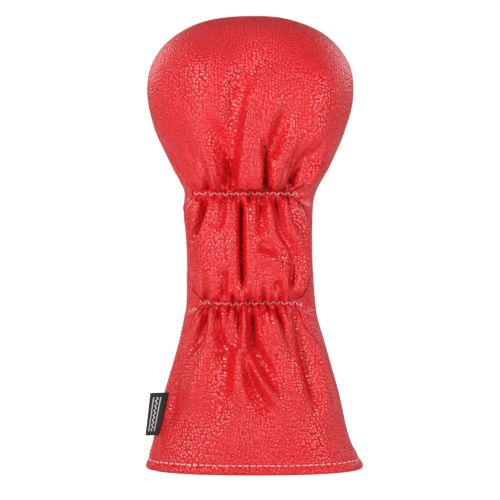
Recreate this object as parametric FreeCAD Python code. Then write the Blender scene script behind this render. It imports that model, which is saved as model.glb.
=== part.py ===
import FreeCAD
import Part
import math
import os

# Driver head cover: a padded leather sock with a flared skirt, gathered twice at the back of its neck.
# Millimetres. Z is up, from the mouth at the hem to the crown. The gathered back faces -Y, +X is to the
# right as seen from the back, and the origin is the centre of the mouth on the plane the hem rests on.

HEIGHT = 340.0
WIDEST_Z = 283.0              # height of the widest part of the head, where the dome begins
DOME_POWER = 2.25             # superellipse power of the dome's outline
SECTION_POWER = 2.4           # superellipse power of every level section
# Outline from the hem to the widest part: height, left and right half widths, back and front depths
OUTLINE = [
    (0.0, 80.0, 85.0, 45.0, 45.0),
    (21.0, 74.0, 74.5, 42.5, 42.0),
    (58.0, 65.0, 65.5, 39.0, 38.0),
    (94.0, 55.0, 55.0, 35.5, 34.5),
    (112.0, 51.0, 49.5, 33.5, 32.0),
    (124.5, 49.0, 48.0, 33.0, 31.0),
    (161.0, 49.0, 46.5, 35.0, 31.0),
    (197.0, 51.5, 46.8, 34.0, 31.5),
    (209.0, 51.2, 49.5, 34.0, 32.0),
    (233.0, 63.0, 62.0, 39.0, 37.0),
    (257.0, 74.0, 72.0, 43.0, 41.0),
    (WIDEST_Z, 79.0, 77.0, 45.0, 43.0),
]
UPPER_GATHER_Z = 205.0        # height of the upper elastic line
LOWER_GATHER_Z = 124.5        # height of the lower elastic line
GATHER_PINCH = 5.0            # how far an elastic line pulls the back in
GATHER_REACH = 7.0            # how far above and below the line the pull fades out
# Where the seam between the back and front panels runs: height and y
SEAM = [(-15.0, -17.0), (205.0, -17.0), (260.0, 0.0), (345.0, 0.0)]

LEATHER = 1.4                 # thicknesses of the layers
PADDING = 3.0
FLEECE = 3.0
LAYER_GAP = 0.2               # free space between layers
ZONE_GAP = 0.1                # free space between a panel's zones at a gather line
SEAM_GAP = 0.1                # from a panel's or lining's edge to the middle of the seam
PADDING_SEAM_GAP = 0.6        # from the padding's edge to the middle of the seam
PADDING_LOW = 214.0           # the padding ends above the upper elastic
HEM_TURN = 15.0               # height of the leather turned in at the mouth
LINING_LOW = 4.0              # height of the lining's lower edge, which the hem's stitches catch

THREAD_R = 0.35
THREAD_STANDOFF = 0.5         # from the leather's face to the middle of a surface stitch
THREAD_TRIM = 1.3             # thread radii left off each end of a zigzag leg
ZIGZAG_PITCH = 2.3            # along the line, from one needle hole to the next
ZIGZAG_HEIGHT = 2.7
HEM_STITCH_Z = 7.0
HEM_STITCH_PITCH = 4.7
HEM_STITCH_LENGTH = 3.2
SEAM_STITCH_DEPTH = 2.2       # from the leather's face in to the middle of the seam's thread
SEAM_STITCH_PITCH = 6.0
SEAM_STITCH_LENGTH = 4.0
SEAM_STITCH_LOW = 18.0        # the seam's stitches start above the turned leather

ELASTIC = 1.2                 # thickness
ELASTIC_WIDTH = 10.0
ELASTIC_HALF_LENGTH = 37.0    # along X, from the middle of the back to where it is sewn down

LABEL_HEIGHT = 33.0
LABEL_REACH = 11.0            # from the line it swings about to its fold
LABEL_LEAF = 0.4              # thickness of the woven tape, which is folded double
LABEL_FOLD_GAP = 0.3          # between the two leaves
LABEL_Z = 41.5                # height of the label's middle
LABEL_CLEARANCE = 1.6         # from the leather to the line that the label swings about

SECTION_POINTS = 48           # points that each level section is drawn through
LEVEL_STEP = 10.0             # between the loft's sections below the dome
DOME_ANGLES = (10, 20, 30, 39, 47, 54, 60, 66, 71, 76, 80, 83, 86)
RING_POINTS = 720             # samples that the hem's stitches are spaced along
FAR = 200.0                   # beyond the whole cover

# Depths of the layers' faces inside the cover's surface
OUTSIDE = 0.0
TURNED_IN = 2 * LEATHER                           # inner face of the doubled leather at the hem
PADDED = LEATHER + LAYER_GAP                      # outer face of the padding and of the elastic
ELASTIC_BACK = PADDED + ELASTIC                   # inner face of the elastic
BODY_LINED = ELASTIC_BACK + LAYER_GAP             # outer face of the lining in the neck and the skirt
HEAD_LINED = PADDED + PADDING + LAYER_GAP         # outer face of the lining in the head


def superellipse(x, power):
    """The other coordinate of a unit superellipse, from 1 in its middle to 0 at its end."""
    return (1 - min(abs(x), 1.0) ** power) ** (1 / power)


def body_outline(z):
    """Half widths and depths at a height below the dome: a smooth curve through OUTLINE."""
    i = max([k for k in range(len(OUTLINE) - 1) if OUTLINE[k][0] <= z], default=0)
    low, high = OUTLINE[i], OUTLINE[i + 1]
    before = OUTLINE[max(i - 1, 0)]
    level = (2 * high[0] - low[0], *low[1:])      # above the widest part, so that the curve is upright there
    after = OUTLINE[i + 2] if i + 2 < len(OUTLINE) else level
    span = high[0] - low[0]
    t = (z - low[0]) / span
    values = []
    for k in range(1, len(low)):
        slope_low = (high[k] - before[k]) / (high[0] - before[0]) * span
        slope_high = (after[k] - low[k]) / (after[0] - low[0]) * span
        rise = high[k] * t * t * (3 - 2 * t) - slope_high * t * t * (1 - t)
        values.append(low[k] * (1 + 2 * t) * (1 - t) ** 2 + slope_low * t * (1 - t) ** 2 + rise)
    return values


def pinch(z):
    """How far the elastic lines pull the back in at a height."""
    lines = (UPPER_GATHER_Z, LOWER_GATHER_Z)
    return sum(GATHER_PINCH * math.exp(-(((z - line) / GATHER_REACH) ** 2)) for line in lines)


def body_level(z, inset):
    """Level section below the dome: height, centre x, half width, back depth and front depth."""
    left, right, back, front = body_outline(z)
    return z, (right - left) / 2, (right + left) / 2 - inset, back - pinch(z) - inset, front - inset


def dome_level(angle, inset):
    """Level section of the dome at an angle up from its base."""
    share = math.sin(math.radians(angle)) / math.sin(math.radians(DOME_ANGLES[-1]))
    shrink = superellipse(math.sin(math.radians(angle)), DOME_POWER)
    _, x0, a, back, front = body_level(WIDEST_Z, inset)
    z = WIDEST_Z + share * (HEIGHT - WIDEST_Z - inset)
    return z, x0 * shrink, a * shrink, back * shrink, front * shrink


def level_point(level, angle):
    """A point of a level section, at an angle round it."""
    z, x0, a, back, front = level
    c, s = math.cos(angle), math.sin(angle)
    x = math.copysign(abs(c) ** (2 / SECTION_POWER), c) * a
    y = math.copysign(abs(s) ** (2 / SECTION_POWER), s) * (front if s > 0 else back)
    return FreeCAD.Vector(x0 + x, y, z)


def side_point(level, side, y):
    """The point of a level section at a given y: side is -1 for the left and +1 for the right."""
    z, x0, a, back, front = level
    return FreeCAD.Vector(x0 + side * a * superellipse(y / (front if y > 0 else back), SECTION_POWER), y, z)


def section_wire(level):
    """Closed smooth wire of a level section."""
    turn = 2 * math.pi / SECTION_POINTS
    points = [level_point(level, k * turn) for k in range(SECTION_POINTS)]
    curve = Part.BSplineCurve()
    knots = [k / SECTION_POINTS for k in range(SECTION_POINTS + 1)]
    curve.interpolate(Points=points, PeriodicFlag=True, Parameters=knots)
    return Part.Wire([curve.toShape()])


def filled(inset):
    """The solid inside the cover's surface inset by a layer depth, carried on a step below the mouth."""
    lines = (LOWER_GATHER_Z, UPPER_GATHER_Z)
    close = [line + GATHER_REACH * k / 2 for line in lines for k in range(-3, 4)]
    even = [LEVEL_STEP * k for k in range(-1, round(WIDEST_Z // LEVEL_STEP))]
    apart = [z for z in even if min(abs(z - near) for near in close) > LEVEL_STEP / 2]
    levels = [body_level(z, inset) for z in sorted(close + apart)] + [body_level(WIDEST_Z, inset)]
    levels += [dome_level(angle, inset) for angle in DOME_ANGLES]
    return Part.makeLoft([section_wire(level) for level in levels], True, False)


def seam_y(z):
    """The seam's y at a height."""
    for (low_z, low_y), (high_z, high_y) in zip(SEAM, SEAM[1:]):
        if z <= high_z:
            return low_y + (high_y - low_y) * (z - low_z) / (high_z - low_z)


def beyond_seam(side, gap):
    """Everything on one side of the seam: -1 for the back, +1 for the front."""
    edge = [FreeCAD.Vector(-FAR, y + side * gap, z) for z, y in SEAM]
    corners = [FreeCAD.Vector(-FAR, side * FAR, edge[-1].z), FreeCAD.Vector(-FAR, side * FAR, edge[0].z)]
    outline = Part.makePolygon(edge + corners + edge[:1])
    return Part.Face(outline).extrude(FreeCAD.Vector(2 * FAR, 0, 0))


def layer(outer, inner, low, high):
    """The shell between two layer depths and two heights."""
    slab = Part.makeBox(2 * FAR, 2 * FAR, high - low, FreeCAD.Vector(-FAR, -FAR, low))
    return FILLED[outer].common(slab).cut(FILLED[inner])


def thread(start, end):
    """A straight run of thread between two points."""
    return Part.makeCylinder(THREAD_R, (end - start).Length, start, end - start)


def even_stitches(path, pitch, length):
    """Straight stitches at an even pitch along a path of closely spaced points."""
    run = [0.0]
    for start, end in zip(path, path[1:]):
        run.append(run[-1] + (end - start).Length)

    def at(distance):
        k = max(i for i in range(len(run) - 1) if run[i] <= distance)
        return path[k] + (path[k + 1] - path[k]) * ((distance - run[k]) / (run[k + 1] - run[k]))

    count = round(run[-1] / pitch)
    even = run[-1] / count
    return Part.makeCompound([thread(at(k * even), at(k * even + length)) for k in range(count)])


def skirt_panel(beyond):
    """Leather of the skirt on one side of the seam, with its lower edge turned in."""
    doubled = layer(OUTSIDE, TURNED_IN, 0, HEM_TURN).common(beyond)
    single = layer(OUTSIDE, LEATHER, HEM_TURN, LOWER_GATHER_Z).common(beyond)
    return doubled.fuse(single).removeSplitter()


def elastic(line_z):
    """Flat elastic behind the back panel, as long as the gathered line."""
    band = layer(PADDED, ELASTIC_BACK, line_z - ELASTIC_WIDTH / 2, line_z + ELASTIC_WIDTH / 2)
    corner = FreeCAD.Vector(-ELASTIC_HALF_LENGTH, -FAR, 0)
    return band.common(Part.makeBox(2 * ELASTIC_HALF_LENGTH, FAR, HEIGHT, corner))


def zigzag_stitching(line_z):
    """Zigzag stitches along a gather line, one leg per needle step."""
    holes = []
    for k in range(int(2 * ELASTIC_HALF_LENGTH / ZIGZAG_PITCH) + 1):
        x = k * ZIGZAG_PITCH - ELASTIC_HALF_LENGTH
        z = line_z + ZIGZAG_HEIGHT / 2 * (-1) ** k
        _, x0, a, back, _ = body_level(z, -THREAD_STANDOFF)
        holes.append(FreeCAD.Vector(x, -back * superellipse((x - x0) / a, SECTION_POWER), z))
    legs = []
    for start, end in zip(holes, holes[1:]):
        trim = (end - start) * (THREAD_TRIM * THREAD_R / (end - start).Length)
        legs.append(thread(start + trim, end - trim))
    return Part.makeCompound(legs)


def hem_stitching():
    """Straight stitches all round the hem."""
    level = body_level(HEM_STITCH_Z, -THREAD_STANDOFF)
    ring = [level_point(level, 2 * math.pi * k / RING_POINTS) for k in range(RING_POINTS + 1)]
    return even_stitches(ring, HEM_STITCH_PITCH, HEM_STITCH_LENGTH)


def side_seam_stitching(low, high):
    """Hidden stitches of both side seams between two heights."""
    heights = [low + (high - low) * k / SECTION_POINTS for k in range(SECTION_POINTS + 1)]
    runs = []
    for side in (-1, 1):
        path = [side_point(body_level(z, SEAM_STITCH_DEPTH), side, seam_y(z)) for z in heights]
        runs.append(even_stitches(path, SEAM_STITCH_PITCH, SEAM_STITCH_LENGTH))
    return Part.makeCompound([stitch for run in runs for stitch in run.Solids])


def crown_seam_stitching(low):
    """Hidden stitches of the seam from a height on one side, over the crown, to the other side."""
    heights = [low + (WIDEST_Z - low) * k / SECTION_POINTS for k in range(SECTION_POINTS)]
    levels = [body_level(z, SEAM_STITCH_DEPTH) for z in heights]
    levels += [dome_level(angle, SEAM_STITCH_DEPTH) for angle in range(DOME_ANGLES[-1] + 1)]
    left = [side_point(level, -1, seam_y(level[0])) for level in levels]
    right = [side_point(level, 1, seam_y(level[0])) for level in levels]
    return even_stitches(left + right[::-1], SEAM_STITCH_PITCH, SEAM_STITCH_LENGTH)


def side_label():
    """Woven tape folded double, standing out of the left side seam with its fold outwards."""
    ends = []
    for z in (LABEL_Z - LABEL_HEIGHT / 2, LABEL_Z + LABEL_HEIGHT / 2):
        ends.append(side_point(body_level(z, -LABEL_CLEARANCE), -1, seam_y(z)))
    foot = ends[0]
    up = (ends[1] - ends[0]).normalize()
    out = FreeCAD.Vector(-up.z, 0, up.x)
    across = up.cross(out)
    half_thick = LABEL_LEAF + LABEL_FOLD_GAP / 2
    straight = out * (LABEL_REACH - half_thick)
    arcs = []
    for radius in (half_thick, LABEL_FOLD_GAP / 2):
        start = foot + across * radius + straight
        end = foot - across * radius + straight
        arcs.append(Part.Arc(start, foot + straight + out * radius, end).toShape())
    outer, inner = arcs
    rim = [arc.Vertexes[k].Point for arc in arcs for k in (0, 1)]
    edges = [outer, inner] + [Part.makeLine(point, point - straight) for point in rim]
    edges.append(Part.makeLine(rim[0] - straight, rim[2] - straight))
    edges.append(Part.makeLine(rim[1] - straight, rim[3] - straight))
    outline = Part.Wire(Part.__sortEdges__(edges))
    return Part.Face(outline).extrude(up * LABEL_HEIGHT)


depths = {OUTSIDE, LEATHER, TURNED_IN, PADDED, PADDED + PADDING, ELASTIC_BACK}
depths |= {BODY_LINED, BODY_LINED + FLEECE, HEAD_LINED, HEAD_LINED + FLEECE}
FILLED = {depth: filled(depth) for depth in sorted(depths)}
head_low = UPPER_GATHER_Z + ZONE_GAP
neck_low = LOWER_GATHER_Z + ZONE_GAP
neck_high = UPPER_GATHER_Z - ZONE_GAP

panels = {
    "panel_head": layer(OUTSIDE, LEATHER, head_low, FAR * 2),
    "panel_neck": layer(OUTSIDE, LEATHER, neck_low, neck_high),
    "lining_head": layer(HEAD_LINED, HEAD_LINED + FLEECE, head_low, FAR * 2),
    "lining_neck": layer(BODY_LINED, BODY_LINED + FLEECE, neck_low, neck_high),
    "lining_skirt": layer(BODY_LINED, BODY_LINED + FLEECE, LINING_LOW, LOWER_GATHER_Z),
}
padding = layer(PADDED, PADDED + PADDING, PADDING_LOW, FAR * 2)

parts = {}
for side_name, side_sign in (("back", -1), ("front", 1)):
    beyond = beyond_seam(side_sign, SEAM_GAP)
    for panel_name, shell in panels.items():
        parts[f"{side_name}_{panel_name}"] = shell.common(beyond)
    parts[f"{side_name}_panel_skirt"] = skirt_panel(beyond)
    parts[f"{side_name}_padding"] = padding.common(beyond_seam(side_sign, PADDING_SEAM_GAP))
parts["upper_elastic"] = elastic(UPPER_GATHER_Z)
parts["lower_elastic"] = elastic(LOWER_GATHER_Z)
parts["upper_zigzag_stitching"] = zigzag_stitching(UPPER_GATHER_Z)
parts["lower_zigzag_stitching"] = zigzag_stitching(LOWER_GATHER_Z)
parts["hem_stitching"] = hem_stitching()
parts["seam_stitching_skirt"] = side_seam_stitching(SEAM_STITCH_LOW, LOWER_GATHER_Z - SEAM_STITCH_LENGTH)
parts["seam_stitching_neck"] = side_seam_stitching(neck_low, UPPER_GATHER_Z - SEAM_STITCH_LENGTH)
parts["seam_stitching_head"] = crown_seam_stitching(head_low)
parts["side_label"] = side_label()

os.makedirs("parts", exist_ok=True)
for name, shape in parts.items():
    shape.exportStep(f"parts/{name}.step")
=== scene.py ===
import math

import bpy
import numpy as np
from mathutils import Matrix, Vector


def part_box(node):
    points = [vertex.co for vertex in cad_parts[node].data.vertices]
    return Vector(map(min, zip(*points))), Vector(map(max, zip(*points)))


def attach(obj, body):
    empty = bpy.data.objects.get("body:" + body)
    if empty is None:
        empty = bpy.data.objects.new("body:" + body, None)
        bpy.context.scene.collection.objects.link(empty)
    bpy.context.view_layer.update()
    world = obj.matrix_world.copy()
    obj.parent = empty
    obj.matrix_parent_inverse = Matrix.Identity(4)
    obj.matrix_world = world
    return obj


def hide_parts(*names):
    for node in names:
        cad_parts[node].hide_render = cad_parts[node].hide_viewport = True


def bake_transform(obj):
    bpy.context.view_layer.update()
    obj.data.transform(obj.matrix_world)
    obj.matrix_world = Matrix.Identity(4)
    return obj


# Looks of the driver head cover. Shapes are worked out in millimetres and made in metres. Z is up from the
# mouth, -Y is the gathered back and +X is the right as seen from the back.
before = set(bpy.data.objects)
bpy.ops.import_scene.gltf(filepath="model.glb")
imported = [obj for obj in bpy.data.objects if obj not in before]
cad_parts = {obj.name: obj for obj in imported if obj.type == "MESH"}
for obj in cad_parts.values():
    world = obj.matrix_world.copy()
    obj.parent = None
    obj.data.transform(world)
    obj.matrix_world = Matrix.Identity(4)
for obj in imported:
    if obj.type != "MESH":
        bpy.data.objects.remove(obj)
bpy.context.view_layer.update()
MM = 0.001
rng = np.random.default_rng(7)

# ---------------------------------------------------------------- the plain form, as in the CAD
SECTION_POWER = 2.4
DOME_POWER = 2.25
LAST_ANGLE = 89.6              # of the dome's last row, where the two panels meet in a short line
WIDEST_Z = 283.0
HEIGHT = 340.0
DOME = HEIGHT - WIDEST_Z
# height, left and right half widths, back and front depths
OUTLINE = np.array([
    (0.0, 80.0, 85.0, 45.0, 45.0),
    (21.0, 74.0, 74.5, 42.5, 42.0),
    (58.0, 65.0, 65.5, 39.0, 38.0),
    (94.0, 55.0, 55.0, 35.5, 34.5),
    (112.0, 51.0, 49.5, 33.5, 32.0),
    (124.5, 49.0, 48.0, 33.0, 31.0),
    (161.0, 49.0, 46.5, 35.0, 31.0),
    (197.0, 51.5, 46.8, 34.0, 31.5),
    (209.0, 51.2, 49.5, 34.0, 32.0),
    (233.0, 63.0, 62.0, 39.0, 37.0),
    (257.0, 74.0, 72.0, 43.0, 41.0),
    (WIDEST_Z, 79.0, 77.0, 45.0, 43.0),
])
UPPER_Z = 205.0
LOWER_Z = 124.5
LINES = (UPPER_Z, LOWER_Z)     # where the elastic is sewn to the back
PINCH = 5.0
PINCH_REACH = 7.0
HEM_Z = 7.0                    # of the hem's stitch line
LABEL_Y = -17.0                # of the seam where the label is caught
# where the seam runs on each side: height and y. The elastic draws it in towards the back at each line.
SEAM_LEFT = np.array([
    (0, -23), (12, -21), (25, -17.5), (58, -15), (68, -14), (98, -18), (111, -19.5), (122, -21), (128, -21),
    (135, -17), (145, -13), (165, -11.5), (182, -11.5), (195, -13.5), (205, -17.5), (212, -17), (220, -12),
    (232, -8), (250, -4), (268, -1), (283, 0),
])
SEAM_RIGHT = np.array([
    (0, -6), (12, -6), (38, -8), (66, -12), (88, -15.5), (95, -18.5), (102, -22.5), (111, -24.5),
    (124.5, -22.5), (133, -20), (144, -16), (160, -13.5), (175, -14), (187, -17), (197, -22), (205, -25),
    (210, -24), (217, -17), (226, -11), (240, -6), (262, -1), (283, 0),
])


def smooth(t):
    """Smooth step from 0 to 1."""
    t = np.clip(t, 0.0, 1.0)
    return t * t * (3 - 2 * t)


def hermite_table():
    """The outline at every half millimetre, by the same curve as the CAD."""
    heights = np.linspace(-4.0, WIDEST_Z, 575)
    rows = []
    for z in heights:
        i = max([k for k in range(len(OUTLINE) - 1) if OUTLINE[k][0] <= z], default=0)
        low, high = OUTLINE[i], OUTLINE[i + 1]
        before = OUTLINE[max(i - 1, 0)]
        after = OUTLINE[i + 2] if i + 2 < len(OUTLINE) else np.array((2 * high[0] - low[0], *low[1:]))
        span = high[0] - low[0]
        t = (z - low[0]) / span
        slope_low = (high - before) / (high[0] - before[0]) * span
        slope_high = (after - low) / (after[0] - low[0]) * span
        rows.append(low * (1 + 2 * t) * (1 - t) ** 2 + slope_low * t * (1 - t) ** 2
                    + high * t * t * (3 - 2 * t) - slope_high * t * t * (1 - t))
    return heights, np.array(rows)[:, 1:]


TABLE_Z, TABLE = hermite_table()


def soft_curve(points):
    """A curve through (height, value) points, rounded over a few millimetres."""
    values = np.interp(TABLE_Z, points[:, 0], points[:, 1])
    kernel = np.exp(-np.linspace(-2.2, 2.2, 21) ** 2)
    padded = np.pad(values, 10, mode="edge")
    return np.convolve(padded, kernel / kernel.sum(), mode="valid")


SEAM = {"left": soft_curve(SEAM_LEFT), "right": soft_curve(SEAM_RIGHT)}


def pinch(z):
    """How far the elastic lines pull the back in."""
    return sum(PINCH * np.exp(-(((z - line) / PINCH_REACH) ** 2)) for line in LINES)


def superellipse(x, power):
    """The other coordinate of a unit superellipse."""
    return np.maximum(1 - np.clip(np.abs(x), 0, 1) ** power, 0) ** (1 / power)


def row_heights(count, low):
    """Each row's height, from low to the crown, and the dome's closing: 1 below it, 0 at the top. The rows are
    closer together at the gather lines."""
    dome_arc = 100.0
    z = np.linspace(low, WIDEST_Z + dome_arc, 4000)
    close = sum(1.3 * np.exp(-(((z - line) / 20) ** 2)) for line in LINES)
    run = np.concatenate([[0], np.cumsum((1 + close)[1:] * np.diff(z))])
    v = np.interp(np.linspace(0, run[-1], count), run, z)
    angle = np.clip((v - WIDEST_Z) / dome_arc, 0, 1) * math.radians(LAST_ANGLE)
    return np.where(v < WIDEST_Z, v, WIDEST_Z + DOME * np.sin(angle)), np.cos(angle)


def column_shares(count):
    """Shares across a panel from one seam to the other, close together at the rolled edges."""
    edge = np.array([0, 0.0012, 0.0035, 0.007])
    return np.concatenate([edge, np.linspace(0.012, 0.988, count - 8), 1 - edge[::-1]])


def section(z):
    """Centre x, half width, back and front depth of each row."""
    zc = np.minimum(z, WIDEST_Z)
    left, right, back, front = [np.interp(zc, TABLE_Z, TABLE[:, k]) for k in range(4)]
    share = np.clip((z - WIDEST_Z) / DOME, 0, 1)
    scale = superellipse(share, DOME_POWER)
    back = back - pinch(z)
    return (right - left) / 2 * scale, (right + left) / 2 * scale, back * scale, front * scale


def plain_grid(side, z, shrink, shares):
    """Points of a panel on the plain form: array rows x columns x 3. side is "back" or "front"."""
    x0, a, back, front = section(z)
    zc = np.minimum(z, WIDEST_Z)
    full_back = np.maximum(back / superellipse(np.clip((z - WIDEST_Z) / DOME, 0, 0.999), DOME_POWER), 1)
    ends = {}
    for name in ("left", "right"):
        y = -np.interp(zc, TABLE_Z, SEAM[name])
        ends[name] = np.arcsin(np.clip(y / full_back, 0, 0.98) ** (SECTION_POWER / 2))
    if side == "back":
        start, end = math.pi + ends["left"], 2 * math.pi - ends["right"]
    else:
        start, end = -ends["right"], math.pi + ends["left"]
    angle = start[:, None] + (end - start)[:, None] * shares[None, :]
    c, s = np.cos(angle), np.sin(angle)
    x = np.sign(c) * np.abs(c) ** (2 / SECTION_POWER) * a[:, None] + x0[:, None]
    depth = np.where(s > 0, front[:, None], back[:, None])
    y = np.sign(s) * np.abs(s) ** (2 / SECTION_POWER) * depth
    if shrink[-1] < 0.1:       # the crown's last row, where the panels meet
        y[-1] = 0
    return np.stack([x, y, np.repeat(z[:, None], len(shares), 1)], -1)


def normals_of(grid):
    """Unit normals of a grid of points, outwards for a back panel's left-to-right columns."""
    du = np.gradient(grid, axis=1)
    dv = np.gradient(grid, axis=0)
    n = np.cross(du, dv)
    length = np.linalg.norm(n, axis=-1, keepdims=True)
    return n / np.maximum(length, 1e-9)


def edge_distance(grid):
    """Distance of each point from the nearer seam, along its row."""
    step = np.linalg.norm(np.diff(grid, axis=1), axis=-1)
    run = np.concatenate([np.zeros((len(grid), 1)), np.cumsum(step, 1)], 1)
    return np.minimum(run, run[:, -1:] - run)


# ---------------------------------------------------------------- folds, in millimetres of the back's x and z
def path_points(points, per_span=5):
    """A smooth path through a few points."""
    p = np.array(points, float)
    if len(p) == 2:
        return p
    ext = np.vstack([2 * p[0] - p[1], p, 2 * p[-1] - p[-2]])
    out = []
    for i in range(1, len(ext) - 2):
        for t in np.arange(per_span) / per_span:
            a, b, c, d = ext[i - 1], ext[i], ext[i + 1], ext[i + 2]
            out.append(0.5 * (2 * b + (c - a) * t + (2 * a - 5 * b + 4 * c - d) * t * t
                              + (3 * b - a - 3 * c + d) * t ** 3))
    return np.array(out + [p[-1]])


def near_path(x, z, points):
    """Distance to a path, the run along it to the nearest point, and its length."""
    path = path_points(points)
    lengths = np.linalg.norm(np.diff(path, axis=0), axis=1)
    total = lengths.sum()
    best = np.full(x.shape, 1e9)
    along = np.zeros(x.shape)
    run = 0.0
    for (ax, az), (bx, bz), length in zip(path, path[1:], lengths):
        ux, uz = (bx - ax) / length, (bz - az) / length
        t = np.clip((x - ax) * ux + (z - az) * uz, 0, length)
        dx, dz = x - ax - ux * t, z - az - uz * t
        distance = np.hypot(dx, dz)
        closer = distance < best
        best = np.where(closer, distance, best)
        along = np.where(closer, run + t, along)
        run += length
    return best, along, total


FOLD_STRENGTH = 1.75
PROUD_LIMIT = 8.5             # how far the back's leather may stand out of the plain form


def fold(x, z, points, height, width_start, width_end, fade_start, fade_end):
    """A rounded ridge, or a valley if height is negative, along a path. It fades out at each end."""
    distance, along, total = near_path(x, z, points)
    width = width_start + (width_end - width_start) * along / total
    envelope = smooth(along / fade_start) * smooth((total - along) / fade_end)
    return FOLD_STRENGTH * height * envelope * np.exp(-((distance / width) ** 2))


# path, height, width at its start, width at its end
HEAD_FOLDS = [
    # the long valley from near the crown, and the ridge on its right
    ([(14, 312), (3, 299), (-5.5, 287), (-9.5, 272), (-11.3, 259.5), (-12.7, 246), (-14.2, 233), (-15.2, 208)],
     -4.4, 12, 3.6),
    ([(24, 305), (9, 292), (0, 278), (-4, 262), (-6.8, 245), (-8.5, 228), (-8, 209)], 2.6, 12, 3.0),
    # the valley on its left, with the ridge between the two
    ([(-46, 270), (-34, 259.5), (-26.5, 250.8), (-22, 239), (-19.3, 226), (-18.5, 209)], -4.6, 10, 2.6),
    ([(-24, 268), (-18, 253), (-15.8, 240), (-16.2, 226)], 2.0, 8, 2.2),
    # the tongue between the long valley and the dark crease
    ([(1, 258), (0, 240), (-1.5, 222), (-1.5, 208)], 3.2, 7, 5.5),
    ([(4, 250), (5, 232), (5.5, 209)], 1.6, 3.5, 2.2),
    # the valley that runs into the dark crease from the right
    ([(41, 280), (27, 263), (18.5, 246), (12.5, 230)], -4.2, 10, 3.2),
    # ridges and valleys on the right
    ([(43, 262), (30, 244), (20, 228), (15, 209)], 3.2, 9, 2.8),
    ([(55, 250), (43, 235), (33, 221), (27.5, 209)], -5.0, 8, 2.6),
    ([(57, 240), (45, 222), (34, 208)], 2.8, 6, 2.4),
    # ridges and valleys on the left
    ([(-48, 262), (-36.7, 245), (-30, 231), (-26, 209)], 2.8, 9, 2.6),
    ([(-37, 236), (-32.5, 222), (-30.5, 208)], -3.6, 4.0, 1.9),
    ([(-46, 244), (-39, 226), (-34, 209)], 2.6, 5, 2.2),
    ([(-54, 234), (-48, 219), (-39, 208)], -3.4, 6, 2.4),
]
# the full sides of the head and the broad ridge between its valleys
HEAD_SIDES = [
    ([(-36, 322), (-34, 288), (-36, 238)], 3.0, 22, 14),
    ([(50, 312), (53, 268), (46, 228)], 3.0, 18, 11),
    ([(28, 306), (17, 278), (10, 244)], 1.6, 10, 6),
]
NECK_FOLDS = [
    # the small wedges of leather above and below the deep crease
    ([(-7.0, 204.5), (-7.0, 201.5), (-7.0, 198)], 3.0, 2.6, 1.0),
    ([(-7.0, 126), (-6.6, 132), (-6.4, 140)], 3.4, 4.0, 1.4),
    # the lips of the crease
    ([(-13.5, 202), (-13.0, 180), (-13.4, 160), (-15.0, 127)], 1.7, 4.0, 3.0),
    ([(0.5, 202), (-0.6, 185), (-0.9, 165), (0.2, 145), (2.0, 127)], 1.7, 3.6, 3.0),
    # the left puff's slanting crease and its ridge
    ([(-33, 204), (-35, 192), (-38.5, 179), (-44, 169)], -4.2, 2.4, 3.0),
    ([(-28, 203), (-30, 192), (-34, 178), (-39, 167)], 1.8, 4.0, 4.5),
    ([(-39, 203), (-42.5, 195), (-45.5, 187)], 1.6, 3.0, 3.0),
    ([(-39, 128), (-42, 138), (-45, 150)], -1.6, 3.0, 3.4),
    # the right puff: outer ridge, valley and inner ridge
    ([(25, 203), (31, 195), (37, 182), (39.5, 165), (37.5, 146), (31, 128)], 1.5, 2.6, 3.0),
    ([(18, 204), (19.5, 190), (21.5, 176), (29, 164), (31, 148), (27, 134)], -3.0, 2.8, 3.4),
    ([(22, 203), (25, 184), (31, 172), (35, 160)], 1.6, 2.4, 3.0),
    ([(7, 200), (6.5, 186), (9, 172)], -2.2, 3.0, 4.5),
    ([(12, 200), (13, 186), (18, 170)], 1.6, 2.6, 4.0),
    # the curved folds at the right puff's foot
    ([(1, 157), (10, 158), (19, 152), (23.5, 141), (22, 131)], 2.4, 5.0, 3.0),
    ([(3, 169), (13, 165), (22, 163)], -2.0, 4.5, 4.0),
    ([(19.5, 143), (18, 130)], -2.0, 2.8, 2.4),
    # the left puff's upper valleys
    ([(-21, 204), (-22, 190), (-25, 176)], -2.0, 2.8, 4.5),
    ([(-17, 204), (-17.5, 188), (-19, 174)], 1.4, 2.2, 4.0),
    ([(-19, 127), (-20, 139), (-21, 152)], -2.2, 2.6, 4.5),
    ([(-25, 127), (-27, 140), (-30, 152)], 1.4, 3.0, 5.0),
]
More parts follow.
